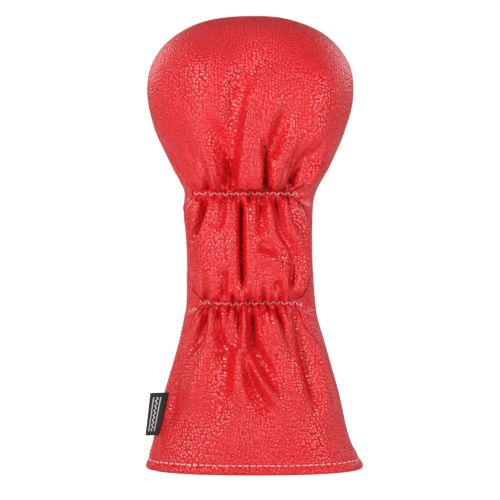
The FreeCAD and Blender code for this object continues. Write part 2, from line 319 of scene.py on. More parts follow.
SKIRT_FOLDS = [
    # the long ridge that swings to the right, with a valley on each side of it
    ([(-5.9, 122), (-5.5, 108), (-4.7, 94), (-0.4, 81), (7, 67.5), (14, 57), (24, 40)], 4.4, 2.4, 6.0),
    ([(1, 119), (0.4, 101), (3.3, 89.4), (12.7, 75), (24, 60)], -3.8, 3.2, 8.0),
    ([(-4.5, 90), (-3.3, 82), (-0.4, 69), (7, 54.5), (16, 34)], -4.2, 3.0, 10.0),
    # the broad ridge on the right, and the valleys and ridges beyond it
    ([(9.8, 118), (18.6, 101), (25.8, 88), (31.7, 73), (37.5, 57), (43, 34)], 3.8, 3.2, 11.0),
    ([(29, 118), (35, 103), (38.9, 86), (42, 69), (50, 40)], -3.4, 2.6, 8.0),
    ([(33, 121), (42.5, 106), (48, 90), (52, 70), (60, 30)], 2.8, 2.4, 8.0),
    ([(16, 121), (22, 110), (27, 100)], -2.4, 2.2, 3.0),
    # left of the dark crease: a small puff under a slanting ridge
    ([(-15.5, 112), (-17.1, 99)], 2.6, 4.0, 4.5),
    ([(-12.4, 121), (-14.5, 112), (-17.5, 106)], 2.4, 1.9, 2.6),
    ([(-8.8, 93), (-8.8, 78), (-8.0, 64), (-2, 44)], 3.0, 4.0, 9.0),
    # the curved valley and the ridge on its left
    ([(-24.6, 120), (-24.4, 104), (-20.8, 94), (-13.5, 86), (-8, 80)], -3.8, 2.4, 4.0),
    ([(-22, 90), (-20.8, 72), (-24, 50), (-27, 26)], -3.0, 5.0, 10.0),
    ([(-28, 121), (-28, 108), (-30.2, 95), (-35.3, 82), (-40, 66), (-45, 40)], 3.8, 2.4, 9.0),
    ([(-32, 119), (-34, 104), (-38.5, 95), (-47, 86)], -3.4, 2.2, 4.0),
    ([(-38, 121), (-42, 108), (-47.5, 95)], 3.0, 2.6, 5.0),
    ([(-53, 90), (-58, 60), (-63, 24)], -2.4, 4.0, 8.0),
]
# path, depth, width of each lip, half width of the gap at the bottom, lengths that it fades over
CREASES = [
    ([(-7.3, 200.5), (-7.6, 188), (-7.7, 170), (-7.2, 153), (-6.5, 132)], 12.0, 4.0, 0.55, 5, 14),
    ([(5.4, 256), (8.6, 241), (10.6, 228), (10.2, 206)], 9.0, 3.6, 0.9, 30, 6),
    ([(-9.0, 123), (-9.0, 110), (-8.8, 94)], 7.5, 4.2, 0.5, 4, 18),
    ([(31, 119), (37, 111), (47, 98)], 6.0, 3.8, 0.6, 6, 9),
    ([(-14.6, 206), (-15.6, 216), (-17.6, 234)], 5.5, 3.8, 0.4, 6, 20),
    ([(29, 206), (32, 215), (39, 228)], 5.5, 4.0, 0.4, 5, 14),
    ([(24.5, 203.5), (27.5, 194)], 4.0, 2.8, 0.4, 3, 6),
    ([(-34, 203.5), (-35, 192), (-38.5, 179), (-44, 168)], 4.0, 3.4, 0.3, 4, 16),
]


def cleft(x, z, points, depth, width, gap, fade_start, fade_end):
    """A deep crease between two rounded lips that almost touch."""
    distance, along, total = near_path(x, z, points)
    envelope = smooth(along / fade_start) * smooth((total - along) / fade_end)
    q = np.clip((distance - gap * envelope) / width, 0, 1)
    return -depth * envelope * (1 - np.sqrt(1 - (1 - q) ** 2))


# the gathers: lobe width at the line, its spread, height and reach
GATHER_SIZES = [(11.0, 3.0, 4.8, 34.0), (5.8, 1.5, 4.2, 21.0), (3.4, 0.7, 1.9, 9.0)]


def make_gathers():
    """Rounded lobes with sharp valleys between them on both sides of each gather line."""
    gathers = []
    for line in LINES:
        for way in (-1, 1):
            for width, spread, height, reach in GATHER_SIZES:
                nodes = [-52.0]
                while nodes[-1] < 52:
                    nodes.append(nodes[-1] + max(1.6, rng.normal(width, spread)))
                count = len(nodes) - 1
                heights = height * rng.uniform(0.45, 1.15, count)
                shorter = 0.5 if (line == UPPER_Z) == (way < 0) else 1.0      # inside the neck
                reaches = shorter * reach * rng.uniform(0.55, 1.25, count)
                gathers.append((line, way, np.array(nodes), heights, reaches))
    return gathers


GATHERS = make_gathers()
WAVES = [(rng.uniform(0.25, 0.6), rng.uniform(0.05, 0.2), rng.uniform(0, math.pi), rng.uniform(0, 6.28))
         for _ in range(9)]


def ripple(x, z):
    """Slow unevenness of the leather."""
    total = 0
    for height, rate, way, phase in WAVES:
        total = total + height * np.sin(rate * (x * math.cos(way) + z * math.sin(way)) + phase)
    return total / 3


def gather_lobes(x, z):
    """Relief of the gathers next to the elastic lines. They fan out where the form widens."""
    total = np.zeros(x.shape)
    for line, way, nodes, heights, reach in GATHERS:
        away = (z - line) * way
        s = np.maximum(away, 0)
        fan = 70.0 if (line == UPPER_Z) == (way > 0) else 400.0
        u = x / (1 + s / fan)
        k = np.clip(np.searchsorted(nodes, u) - 1, 0, len(heights) - 1)
        share = np.clip((u - nodes[k]) / (nodes[k + 1] - nodes[k]), 0, 1)
        envelope = smooth((away + 1.5) / 4.5) * np.exp(-((s / reach[k]) ** 2))
        total += heights[k] * (np.sin(math.pi * share) - 0.5) * envelope
    return total


def back_relief(x, z):
    """Height of the back's leather over the plain form."""
    relief = 4.4 * np.sin(math.pi * np.clip((z - LOWER_Z) / (UPPER_Z - LOWER_Z), 0, 1)) ** 0.5
    relief = relief + 3.0 * np.exp(-(((z - UPPER_Z - 14) / 11) ** 2)) * smooth((z - UPPER_Z) / 6)
    relief = relief + 2.2 * np.exp(-(((z - LOWER_Z + 13) / 11) ** 2)) * smooth((LOWER_Z - z) / 6)
    above, below = smooth((z - UPPER_Z) / 3), smooth((LOWER_Z - z) / 3)
    between = smooth((UPPER_Z - z) / 3) * smooth((z - LOWER_Z) / 3)
    for path_shape in HEAD_FOLDS:
        relief = relief + fold(x, z, *path_shape, 42, 3) * above
    for path_shape in HEAD_SIDES:
        relief = relief + fold(x, z, *path_shape, 26, 26) * above
    for path_shape in NECK_FOLDS:
        relief = relief + fold(x, z, *path_shape, 5, 8) * between
    for path_shape in SKIRT_FOLDS:
        relief = relief + fold(x, z, *path_shape, 3, 26) * below
    relief = relief + gather_lobes(x, z)
    for line in LINES:
        relief = relief - 0.9 * np.exp(-(((z - line) / 1.6) ** 2))
    relief = np.where(relief > 0, PROUD_LIMIT * np.tanh(relief / PROUD_LIMIT), relief)
    for crease in CREASES:
        relief = relief + cleft(x, z, *crease)
    return relief


def front_relief(x, z, e):
    """Height of the front's leather over the plain form: nearly flat, with folds where its sides are drawn
    round. e is the distance from the nearer seam."""
    relief = np.zeros(x.shape)
    for line in LINES:
        near = np.exp(-(((z - line) / 7) ** 2))
        relief = relief - 1.6 * near * smooth((26 - e) / 26) * smooth(e / 6)
        for offset, height, width in ((-7, 1.0, 3), (6, 0.9, 3), (0, 0.7, 2.2), (13, 0.5, 4), (-14, 0.5, 4)):
            away = z - line - offset * (1 + e / 30)
            relief = relief + height * np.exp(-((away / width) ** 2)) * smooth((22 - e) / 22)
    return relief


SEAM_ROLL = 1.5                # radius with which a panel's edge turns into the seam


def leather_grid(side, z, shrink, shares):
    """The outer face of a leather panel, and the plain form's normals under it."""
    plain = plain_grid(side, z, shrink, shares)
    e = edge_distance(plain)
    x, zz = plain[..., 0], plain[..., 2]
    crown = smooth(shrink / 0.5)[:, None]
    hem = smooth(zz / 14)
    if side == "back":
        fade = smooth(e / 9)
        relief = back_relief(x, zz) * fade + ripple(x, zz) * smooth(e / 14) * crown * hem
    else:
        relief = (ripple(x * 0.8 + 31, zz * 0.8) * smooth(e / 14) + front_relief(x, zz, e)) * crown * hem
    normal = normals_of(plain)
    row_length = np.linalg.norm(np.diff(plain, axis=1), axis=-1).sum(1)[:, None]
    shallow = smooth(row_length / 60)
    turn = 1 - np.clip(e / SEAM_ROLL, 0, 1)
    relief = relief - shallow * SEAM_ROLL * (1 - np.sqrt(np.maximum(1 - turn ** 2, 0)))
    relief = relief - 0.5 * np.exp(-((e / 3.0) ** 2)) * crown
    # the stitch line of the hem is pulled in a little and the turned edge stands out under it
    relief = relief - 0.55 * np.exp(-(((zz - HEM_Z) / 1.3) ** 2)) + 0.5 * np.exp(-(((zz - 3.4) / 2.2) ** 2))
    relief = relief + 0.35 * np.exp(-(((zz - 12.0) / 3.0) ** 2))
    return plain + normal * relief[..., None], normal


# ---------------------------------------------------------------- mesh building
def new_object(name, verts, faces, looks):
    mesh = bpy.data.meshes.new(name)
    mesh.from_pydata((np.asarray(verts) * MM).tolist(), [], faces)
    mesh.validate()
    mesh.update()
    mesh.polygons.foreach_set("use_smooth", [True] * len(mesh.polygons))
    rest = mesh.attributes.new("rest_place", "FLOAT_VECTOR", "POINT")
    co = np.empty(len(mesh.vertices) * 3)
    mesh.vertices.foreach_get("co", co)
    rest.data.foreach_set("vector", co)
    mesh.materials.append(looks)
    obj = bpy.data.objects.new(name, mesh)
    bpy.context.scene.collection.objects.link(obj)
    return obj


LOW_ROWS = 4                   # rows of a panel that curl under its lower edge


ZONES = ("head", "neck", "skirt")


def tie(obj, body=None):
    """Hides a piece's CAD nodes and ties it to its body. With no body, it crosses the neck, has a node per zone
    and its place is baked into its mesh.
    """
    name = obj.name.partition(".")[0]      # without Blender's number, added while the CAD piece has the name
    if body:
        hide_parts(name)
        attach(obj, body)
    else:
        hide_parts(*[f"{name}_{zone}" for zone in ZONES])
        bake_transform(obj)


def grain_place(plain, outer):
    """Where the leather's pebbles are laid out: the run along the plain form's rows and columns, in metres,
    and how steeply a fold's flank stands on it, from 0 to 1."""
    across = np.linalg.norm(np.diff(plain, axis=1), axis=-1)
    across = np.concatenate([np.zeros((len(plain), 1)), np.cumsum(across, 1)], 1)
    across = across - across[:, across.shape[1] // 2][:, None]
    up = np.linalg.norm(np.diff(plain, axis=0), axis=-1)
    up = np.concatenate([np.zeros((1, plain.shape[1])), np.cumsum(up, 0)], 0)
    steep = smooth((0.85 - (normals_of(plain) * normals_of(outer)).sum(-1)) / 0.25)
    place = np.stack([across, up, steep / MM], -1)
    below = np.repeat(place[:1], LOW_ROWS, 0)
    below[..., 1] -= np.arange(LOW_ROWS, 0, -1)[:, None] * 0.6
    place = np.concatenate([below, place], 0)
    return np.vstack([place.reshape(-1, 3), place[::2, ::2].reshape(-1, 3)]) * MM


def closed_sheet(name, outer, inner, looks):
    """A closed skin: the outer grid, an inner grid with every second point, and a rim that joins them."""
    rows, cols = outer.shape[:2]
    irows, icols = inner.shape[:2]
    base = rows * cols
    verts = np.vstack([outer.reshape(-1, 3), inner.reshape(-1, 3)])

    def o(r, c):
        return r * cols + c

    def i(r, c):
        return base + r * icols + c

    faces = [(o(r, c), o(r, c + 1), o(r + 1, c + 1), o(r + 1, c)) for r in range(rows - 1)
             for c in range(cols - 1)]
    faces += [(i(r, c), i(r + 1, c), i(r + 1, c + 1), i(r, c + 1)) for r in range(irows - 1)
              for c in range(icols - 1)]
    k = (rows - 1) // (irows - 1)
    for c in range(icols - 1):
        low = [o(0, c * k + j) for j in range(k + 1)]
        high = [o(rows - 1, c * k + j) for j in range(k + 1)]
        faces.append((i(0, c), i(0, c + 1), *low[::-1]))
        faces.append((i(irows - 1, c + 1), i(irows - 1, c), *high))
    for r in range(irows - 1):
        left = [o(r * k + j, 0) for j in range(k + 1)]
        right = [o(r * k + j, cols - 1) for j in range(k + 1)]
        faces.append((i(r + 1, 0), i(r, 0), *left))
        faces.append((i(r, icols - 1), i(r + 1, icols - 1), *right[::-1]))
    return new_object(name, verts, faces, looks)


THREAD_SIDES = 6


def tubes(name, runs, radius, looks):
    """Threads: each run is a list of points, drawn as a tube with rounded ends."""
    verts, faces = [], []
    for run in runs:
        p = np.asarray(run, float)
        tangent = np.gradient(p, axis=0)
        tangent /= np.linalg.norm(tangent, axis=1, keepdims=True)
        helper = np.array([0.1, 1.0, 0.2])
        side = np.cross(tangent, helper)
        side /= np.linalg.norm(side, axis=1, keepdims=True)
        up = np.cross(side, tangent)
        share = np.linspace(0, 1, len(p))
        swell = np.sqrt(np.clip(1 - np.abs(2 * share - 1) ** 5, 0.10, 1))
        first = len(verts)
        for k in range(len(p)):
            for j in range(THREAD_SIDES):
                a = 2 * math.pi * j / THREAD_SIDES
                verts.append(p[k] + radius * swell[k] * (math.cos(a) * side[k] + math.sin(a) * up[k]))
        for k in range(len(p) - 1):
            around = first + k * THREAD_SIDES
            for j in range(THREAD_SIDES):
                a, b = around + j, around + (j + 1) % THREAD_SIDES
                faces.append((a, b, b + THREAD_SIDES, a + THREAD_SIDES))
        last = len(verts) - THREAD_SIDES
        faces.append(tuple(first + j for j in range(THREAD_SIDES))[::-1])
        faces.append(tuple(last + j for j in range(THREAD_SIDES)))
    return new_object(name, verts, faces, looks)


# ---------------------------------------------------------------- materials
def material(name):
    m = bpy.data.materials.new(name)
    m.use_nodes = True
    return m, m.node_tree, m.node_tree.nodes["Principled BSDF"]


def attribute(tree, name="rest_place"):
    """A vector kept on the mesh. rest_place is the rest position in metres, which stays as the piece bends."""
    n = tree.nodes.new("ShaderNodeAttribute")
    n.attribute_name = name
    return n.outputs["Vector"]


def texture(tree, kind, source, scale, **settings):
    n = tree.nodes.new(kind)
    n.inputs["Scale"].default_value = scale
    for key, value in settings.items():
        if key in n.inputs:
            n.inputs[key].default_value = value
        else:
            setattr(n, key, value)
    tree.links.new(source, n.inputs["Vector"])
    return n


def ramp(tree, source, stops):
    n = tree.nodes.new("ShaderNodeValToRGB")
    while len(n.color_ramp.elements) < len(stops):
        n.color_ramp.elements.new(0.5)
    for element, (position, colour) in zip(n.color_ramp.elements, stops):
        element.position = position
        element.color = (*colour, 1)
    tree.links.new(source, n.inputs["Fac"])
    return n.outputs["Color"]


def maths(tree, operation, *values):
    n = tree.nodes.new("ShaderNodeMath")
    n.operation = operation
    for socket, value in zip(n.inputs, values):
        if isinstance(value, (int, float)):
            socket.default_value = value
        else:
            tree.links.new(value, socket)
    return n.outputs[0]


def paint(tree, bsdf, colour, roughness):
    tree.links.new(colour, bsdf.inputs["Base Color"])
    bsdf.inputs["Roughness"].default_value = roughness


def bump(tree, bsdf, height, distance):
    n = tree.nodes.new("ShaderNodeBump")
    n.inputs["Strength"].default_value = 1.0
    n.inputs["Distance"].default_value = distance
    tree.links.new(height, n.inputs["Height"])
    tree.links.new(n.outputs["Normal"], bsdf.inputs["Normal"])


def blend_values(tree, factor, a, b):
    n = tree.nodes.new("ShaderNodeMix")
    for socket, value in zip(("Factor", "A", "B"), (factor, a, b)):
        tree.links.new(value, n.inputs[socket])
    return n.outputs["Result"]


PEBBLES_PER_METRE = 420.0
PEBBLE_BUMP = 0.00038


def pebbles(tree, where, dimensions):
    """Distance from each pebble's middle, squared, and a value that drops to 0 in the grooves."""
    settings = {"Randomness": 0.8, "voronoi_dimensions": dimensions}
    cells = texture(tree, "ShaderNodeTexVoronoi", where, PEBBLES_PER_METRE, feature="SMOOTH_F1",
                    Smoothness=0.1, **settings)
    edges = texture(tree, "ShaderNodeTexVoronoi", where, PEBBLES_PER_METRE, feature="DISTANCE_TO_EDGE",
                    **settings)
    groove = maths(tree, "MINIMUM", maths(tree, "MULTIPLY", edges.outputs["Distance"], 5.0), 1.0)
    return maths(tree, "MULTIPLY", cells.outputs["Distance"], cells.outputs["Distance"]), groove


def leather_material():
    m, tree, bsdf = material("red_pebbled_leather")
    where = attribute(tree)
    grain = attribute(tree, "grain_place")
    split = tree.nodes.new("ShaderNodeSeparateXYZ")
    tree.links.new(grain, split.inputs["Vector"])
    flat_slope, flat_groove = pebbles(tree, grain, "2D")
    steep_slope, steep_groove = pebbles(tree, where, "3D")
    slope = blend_values(tree, split.outputs["Z"], flat_slope, steep_slope)
    groove = blend_values(tree, split.outputs["Z"], flat_groove, steep_groove)
    raised, rounded = maths(tree, "MULTIPLY", groove, 0.25), maths(tree, "MULTIPLY", slope, 1.6)
    pebble = maths(tree, "SUBTRACT", raised, rounded)
    bump(tree, bsdf, pebble, PEBBLE_BUMP)
    tone = texture(tree, "ShaderNodeTexNoise", where, 28.0, Detail=3.0)
    body = ramp(tree, tone.outputs["Fac"], [(0.3, (0.85, 0.005, 0.020)), (0.7, (0.93, 0.008, 0.027))])
    # painted highlight and painted shade: the pebbles' tops are painted pinker, as if each caught the light,
    # and the grooves between them are painted deeper red, as if in shade
    painted_glint_stops = [(0.0, (0.82, 0.3, 0.3)), (0.12, (0.98, 0.8, 0.8)), (0.25, (1.06, 5.0, 2.6))]
    painted_glint_and_shade = tree.nodes.new("ShaderNodeMix")
    painted_glint_and_shade.data_type = "RGBA"
    painted_glint_and_shade.blend_type = "MULTIPLY"
    painted_glint_and_shade.inputs["Factor"].default_value = 1.0
    tree.links.new(body, painted_glint_and_shade.inputs["A"])
    tree.links.new(ramp(tree, pebble, painted_glint_stops), painted_glint_and_shade.inputs["B"])
    tree.links.new(painted_glint_and_shade.outputs["Result"], bsdf.inputs["Base Color"])
    rough = ramp(tree, groove, [(0.0, (0.46, 0.46, 0.46)), (1.0, (0.22, 0.22, 0.22))])
    tree.links.new(rough, bsdf.inputs["Roughness"])
    bsdf.inputs["Specular IOR Level"].default_value = 0.7
    return m


def thread_material(name, colour, dark):
    m, tree, bsdf = material(name)
    where = attribute(tree)
    strands = texture(tree, "ShaderNodeTexWave", where, 700.0, Distortion=2.0)
    paint(tree, bsdf, ramp(tree, strands.outputs["Fac"], [(0.0, dark), (0.8, colour)]), 0.7)
    bump(tree, bsdf, strands.outputs["Fac"], 0.0001)
    return m


def fleece_material():
    m, tree, bsdf = material("grey_fleece")
    where = attribute(tree)
    pile = texture(tree, "ShaderNodeTexNoise", where, 700.0, Detail=5.0, Roughness=0.7)
    clumps = texture(tree, "ShaderNodeTexVoronoi", where, 260.0, Randomness=1.0)
    clump = maths(tree, "MULTIPLY", clumps.outputs["Distance"], 0.8)
    height = maths(tree, "ADD", pile.outputs["Fac"], clump)
    bump(tree, bsdf, height, 0.0009)
    grey = ramp(tree, pile.outputs["Fac"], [(0.3, (0.012, 0.012, 0.014)), (0.75, (0.05, 0.05, 0.054))])
    paint(tree, bsdf, grey, 0.95)
    bsdf.inputs["Sheen Weight"].default_value = 0.5
    return m


def sponge_material():
    m, tree, bsdf = material("pale_sponge")
    where = attribute(tree)
    pores = texture(tree, "ShaderNodeTexVoronoi", where, 900.0, Randomness=1.0)
    cream = ramp(tree, pores.outputs["Distance"], [(0.0, (0.45, 0.43, 0.38)), (0.5, (0.78, 0.76, 0.70))])
    paint(tree, bsdf, cream, 0.95)
    bump(tree, bsdf, pores.outputs["Distance"], 0.0004)
    return m


def elastic_material():
    m, tree, bsdf = material("knitted_elastic")
    where = attribute(tree)
    ribs = texture(tree, "ShaderNodeTexWave", where, 420.0, Distortion=0.6, bands_direction="Z")
    knit = ramp(tree, ribs.outputs["Fac"], [(0.0, (0.42, 0.41, 0.40)), (0.7, (0.80, 0.79, 0.76))])
    paint(tree, bsdf, knit, 0.85)
    bump(tree, bsdf, ribs.outputs["Fac"], 0.0003)
    return m


LEATHER = leather_material()
GATHER_THREAD = thread_material("pink_white_thread", (1.0, 0.54, 0.57), (0.95, 0.36, 0.40))
HEM_THREAD = thread_material("off_white_thread", (0.98, 0.90, 0.89), (0.84, 0.66, 0.66))
SEAM_THREAD = thread_material("red_thread", (0.50, 0.02, 0.03), (0.30, 0.01, 0.02))
FLEECE = fleece_material()
SPONGE = sponge_material()
ELASTIC = elastic_material()

# ---------------------------------------------------------------- gathering, as cloth
SIM_SCALE = 0.01               # the cloth is simulated at ten times its size, where the solver behaves best
SIM_FRAMES = 24
HELD_OVER, HELD_UNDER = 296.0, 16.0            # the crown and the hem are held, and so are the edges
OUT_LIMIT, IN_LIMIT, SIDE_LIMIT = 5.0, 9.0, 4.0    # how far the leather may move, in millimetres
BLUR_ROUNDS = 14               # evens out the cloth's grid after it is brought to the fine mesh


def fullness(z):
    """How much wider the leather is than the form it is gathered onto."""
    fade_head = smooth((275 - z) / 62)
    fade_skirt = smooth((z - 30) / 80)
    return 1 + 0.5 * fade_head * fade_skirt


def gather(grid):
    """How each point moves when the back's leather buckles between its seams and gather lines."""
    rows, cols = grid.shape[:2]
    height = grid[:, 0, 2]
    full = fullness(height)[:, None]
    rest = grid.copy()
    rest[..., 0] *= full
    rest[..., 1] *= full
    verts = grid.reshape(-1, 3) * SIM_SCALE
    faces = [(r * cols + c, r * cols + c + 1, (r + 1) * cols + c + 1, (r + 1) * cols + c)
             for r in range(rows - 1) for c in range(cols - 1)]
    mesh = bpy.data.meshes.new("gathering")
    mesh.from_pydata(verts.tolist(), [], faces)
    obj = bpy.data.objects.new("gathering", mesh)
    bpy.context.scene.collection.objects.link(obj)
    obj.shape_key_add(name="Basis")
    key = obj.shape_key_add(name="ungathered")
    key.data.foreach_set("co", (rest.reshape(-1, 3) * SIM_SCALE).ravel())
    key.value = 0.0
    held = np.zeros((rows, cols))
    held[:, :2] = held[:, -2:] = 1
    held[:2] = 1
    held[(height > HELD_OVER) | (height < HELD_UNDER)] = 1
    for line in LINES:
        held[np.abs(height - line) < 1.4] = 1
    group = obj.vertex_groups.new(name="held")
    group.add(np.nonzero(held.ravel())[0].tolist(), 1.0, "REPLACE")
    cloth = obj.modifiers.new("cloth", "CLOTH")
    settings = cloth.settings
    settings.quality = 7
    settings.mass = 0.3
    settings.tension_stiffness = 25
    settings.compression_stiffness = 25
    settings.shear_stiffness = 8
    settings.bending_model = "ANGULAR"
    settings.bending_stiffness = 0.5
    settings.tension_damping = settings.compression_damping = 8
    settings.shear_damping = 8
    settings.bending_damping = 2
    settings.air_damping = 3
    settings.vertex_group_mass = "held"
    settings.rest_shape_key = key
    settings.use_pressure = True
    settings.uniform_pressure_force = 0.3
    settings.effector_weights.gravity = 0
    cloth.collision_settings.use_collision = False
    cloth.point_cache.frame_start = 1
    cloth.point_cache.frame_end = SIM_FRAMES
    scene = bpy.context.scene
    for frame_number in range(1, SIM_FRAMES + 1):
        scene.frame_set(frame_number)
    evaluated = obj.evaluated_get(bpy.context.evaluated_depsgraph_get())
    co = np.empty(rows * cols * 3)
    evaluated.data.vertices.foreach_get("co", co)
    scene.frame_set(1)
    bpy.data.objects.remove(obj)
    moved = co.reshape(rows, cols, 3) / SIM_SCALE - grid
    normal = normals_of(grid)
    out = (moved * normal).sum(-1, keepdims=True)
    limited = np.where(out > 0, OUT_LIMIT * np.tanh(out / OUT_LIMIT), IN_LIMIT * np.tanh(out / IN_LIMIT))
    side = moved - normal * out
    size = np.linalg.norm(side, axis=-1, keepdims=True)
    side *= np.minimum(1, SIDE_LIMIT / np.maximum(size, 1e-6))
    return normal * limited + side


def upsample(field, rows, cols):
    """A coarse field of vectors on every second row and column, brought to the fine grid."""
    fine = np.empty((rows, cols, field.shape[2]))
    coarse_rows, coarse_cols = np.arange(field.shape[0]) * 2, np.arange(field.shape[1]) * 2
    for k in range(field.shape[2]):
        part = np.array([np.interp(np.arange(cols), coarse_cols, line) for line in field[..., k]])
        fine[..., k] = np.array([np.interp(np.arange(rows), coarse_rows, part[:, c]) for c in range(cols)]).T
    for axis in (0, 1) * BLUR_ROUNDS:
        near = np.roll(fine, 1, axis), np.roll(fine, -1, axis)
        inside = [slice(None)] * 3
        inside[axis] = slice(1, -1)
        blurred = 0.5 * fine + 0.25 * (near[0] + near[1])
        fine[tuple(inside)] = blurred[tuple(inside)]
    return fine


# ---------------------------------------------------------------- leather panels
ROWS, COLUMNS = 341, 205       # both odd, as the inner face has every second row and column
LEATHER_THICKNESS = 0.9
LOW_ROUND = 1.5                # radius of the folded lower edge
TURNED_HEM = 15.0              # height up to which the leather is double
row_z, row_shrink = row_heights(ROWS - LOW_ROWS, LOW_ROUND)
SHARES = column_shares(COLUMNS)


def leather_panel(side):
    """One panel from crown to hem. Its outer face is kept too, so that the stitches can be laid on it."""
    plain = plain_grid(side, row_z, row_shrink, SHARES)
    outer, normal = leather_grid(side, row_z, row_shrink, SHARES)
    if side == "back":
        outer = outer + upsample(gather(outer[::2, ::2]), *outer.shape[:2])
        normal = normals_of(outer)
    curl = []
    for angle in (90, 67, 45, 22):
        a = math.radians(angle)
        ring = outer[0] - normal[0] * LOW_ROUND * (1 - math.cos(a))
        ring[:, 2] = LOW_ROUND * (1 - math.sin(a))
        curl.append(ring)
    skin = np.concatenate([np.array(curl), outer], 0)
    skin_normal = np.concatenate([np.repeat(normal[:1], LOW_ROWS, 0), normal], 0)
    double = 2 * LOW_ROUND
    thick = np.interp(skin[::2, 0, 2], [0, TURNED_HEM, TURNED_HEM + 1.5], [double, double, LEATHER_THICKNESS])
    thick[0] = double
    inner = skin[::2, ::2] - skin_normal[::2, ::2] * thick[:, None, None]
    inner[0] = skin[LOW_ROWS, ::2] - skin_normal[LOW_ROWS, ::2] * double
    inner[1] = inner[0] * 0.5 + inner[2] * 0.5
    obj = closed_sheet(f"{side}_panel", skin, inner, LEATHER)
    grain = obj.data.attributes.new("grain_place", "FLOAT_VECTOR", "POINT")
    grain.data.foreach_set("vector", grain_place(plain, outer).ravel())
    tie(obj)
    return {"outer": outer, "normal": normal, "plain_x": plain[..., 0]}


panels = {side: leather_panel(side) for side in ("back", "front")}


# ---------------------------------------------------------------- linings and padding
def soft_floor(relief, window):
    """A smooth surface under the leather's relief: the lowest point nearby, blurred."""
    low = relief.copy()
    for combine in (np.min, np.mean):
        for axis in (0, 1):
            low = combine([np.roll(low, k, axis) for k in range(-window, window + 1)], 0)
    return low


HALF_WIDTH, HALF_DEPTH = 77.0, 45.0            # of the dome's foot


def under_layer(name, side, low_z, high_z, depth, thickness, looks):
    """A soft layer from low_z to high_z: depth under the leather's face, and thickness thick."""
    z, shrink = row_heights(121, 0.5)
    plain = plain_grid(side, z, shrink, np.linspace(0.012, 0.988, 81))
    normal = normals_of(plain)
    if side == "back":
        dents = back_relief(plain[..., 0], plain[..., 2]) * smooth(edge_distance(plain) / 9)
        relief = soft_floor(np.minimum(dents, 0), 3)
    else:
        relief = np.full(plain.shape[:2], -0.6)
    behind_hem = np.interp(z, [0, 10, 20, HEIGHT], [1.9, 1.9, 0, 0])[:, None]
    in_dome = smooth((plain[..., 2] - WIDEST_Z) / 12)[..., None]
    kept = (z >= low_z) & (z <= high_z)
    faces = []
    for inset in (depth, depth + thickness):
        below = plain + normal * (relief - inset - behind_hem)[..., None]
        # in the dome the layer is the plain form made smaller, as the normals meet at the crown
        smaller = plain.copy()
        smaller[..., 0] *= (HALF_WIDTH - inset) / HALF_WIDTH
        smaller[..., 1] *= (HALF_DEPTH - inset) / HALF_DEPTH
        smaller[..., 2] = WIDEST_Z + (plain[..., 2] - WIDEST_Z) * (DOME - inset) / DOME
        smaller += normal * relief[..., None]
        faces.append((below * (1 - in_dome) + smaller * in_dome)[kept])
    return closed_sheet(name, *faces, looks)


for side in ("back", "front"):
    tie(under_layer(f"{side}_padding", side, UPPER_Z + 9, HEIGHT - 5, 2.0, 2.4, SPONGE), "head")
    tie(under_layer(f"{side}_lining", side, 4.0, HEIGHT, 4.0, 2.8, FLEECE))


# ---------------------------------------------------------------- thread and elastic
def on_back(x, z, proud):
    """The point that stands proud of the back panel's outer face, at a plain form's x and height."""
    grid, normal, plain_x = [panels["back"][part] for part in ("outer", "normal", "plain_x")]
    r = float(np.interp(z, row_z, np.arange(len(row_z))))
    low = min(int(r), len(row_z) - 2)
    t = r - low
    row = grid[low] * (1 - t) + grid[low + 1] * t
    normal_row = normal[low] * (1 - t) + normal[low + 1] * t
    along = plain_x[low] * (1 - t) + plain_x[low + 1] * t
    if x < along[0] or x > along[-1]:
        return on_front(x, z, proud)
    p = np.array([np.interp(x, along, row[:, k]) for k in range(3)])
    n = np.array([np.interp(x, along, normal_row[:, k]) for k in range(3)])
    n /= np.linalg.norm(n)
    return p + n * proud


def on_front(x, z, proud):
    """The same for the front panel's part that wraps round to the back."""
    r = int(round(float(np.interp(z, row_z, np.arange(len(row_z))))))
    row, normal_row = panels["front"]["outer"][r], panels["front"]["normal"][r]
    wrapped = row[:, 1] < -2
    k = int(np.argmin(np.where(wrapped, np.abs(row[:, 0] - x), 1e9)))
    return row[k] + normal_row[k] * proud


def run_of(path):
    """Length along a path at each of its points."""
    return np.concatenate([[0], np.cumsum(np.linalg.norm(np.diff(path, axis=0), axis=1))])


ZIGZAG_PITCH = 2.7
ZIGZAG_HEIGHT = 4.2
ZIGZAG_SHOWN = (0.14, 0.86)    # part of each stitch that shows between its two holes


def zigzag(name, line, low, high, body):
    """The zigzag stitches of a gather line, from x low to x high."""
    holes = []
    for k in range(int((high - low) / ZIGZAG_PITCH) + 1):
        x = low + k * ZIGZAG_PITCH + rng.normal(0, 0.18)
        z = line + ZIGZAG_HEIGHT / 2 * (-1) ** k + rng.normal(0, 0.15) + 0.5 * math.sin(x / 9.0)
        holes.append((x, z))
    runs = []
    for (xa, za), (xb, zb) in zip(holes, holes[1:]):
        points = []
        for t in np.linspace(*ZIGZAG_SHOWN, 7):
            lift = -0.35 + 0.85 * math.sin(math.pi * t) ** 0.7
            points.append(on_back(xa + (xb - xa) * t, za + (zb - za) * t, lift))
        runs.append(points)
    tie(tubes(f"{name}_zigzag_stitching", runs, 0.41, GATHER_THREAD), body)


ELASTIC_HALF_LENGTH, ELASTIC_HALF_WIDTH = 37.0, 5.0
ELASTIC_THICKNESS = 1.0


